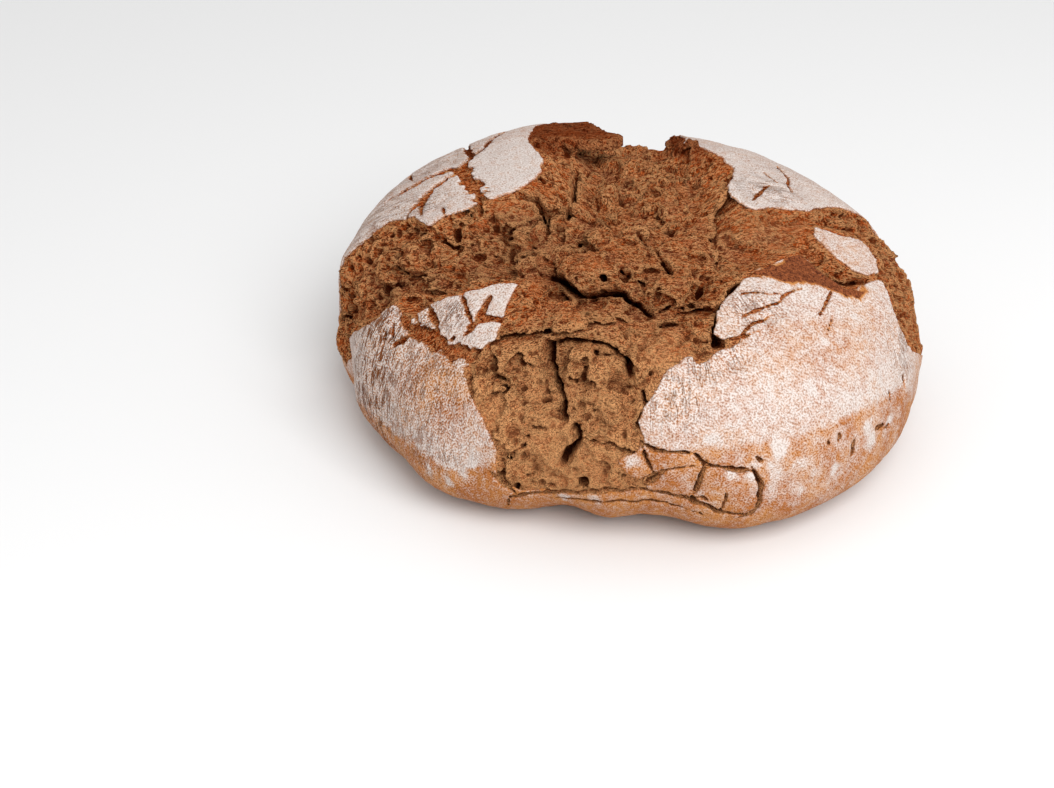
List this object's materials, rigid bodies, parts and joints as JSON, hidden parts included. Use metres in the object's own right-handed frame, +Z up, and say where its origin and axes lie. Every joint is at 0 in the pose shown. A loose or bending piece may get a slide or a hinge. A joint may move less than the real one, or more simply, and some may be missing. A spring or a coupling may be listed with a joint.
{
  "type": "rye bread loaf",
  "caption": "Round rye bread loaf, floured, its crust torn open along a cross so that the crumb shows.",
  "frame": {"origin": "on the flat base, under the middle of the loaf's box", "axes": "+Z up from the base to the crown; -Y is the front, where one arm of the torn cross runs down; +X is to the right seen from the front"},
  "size_m": [0.248, 0.2532, 0.0987],
  "materials": {
    "crust": "matt baked rye crust, light brown below, dusted with white flour above",
    "crumb": "rough torn rye crumb, brown, with open pores"
  },
  "bodies": {
    "root": {"loaf": "crust"}
  },
  "joints": []
}
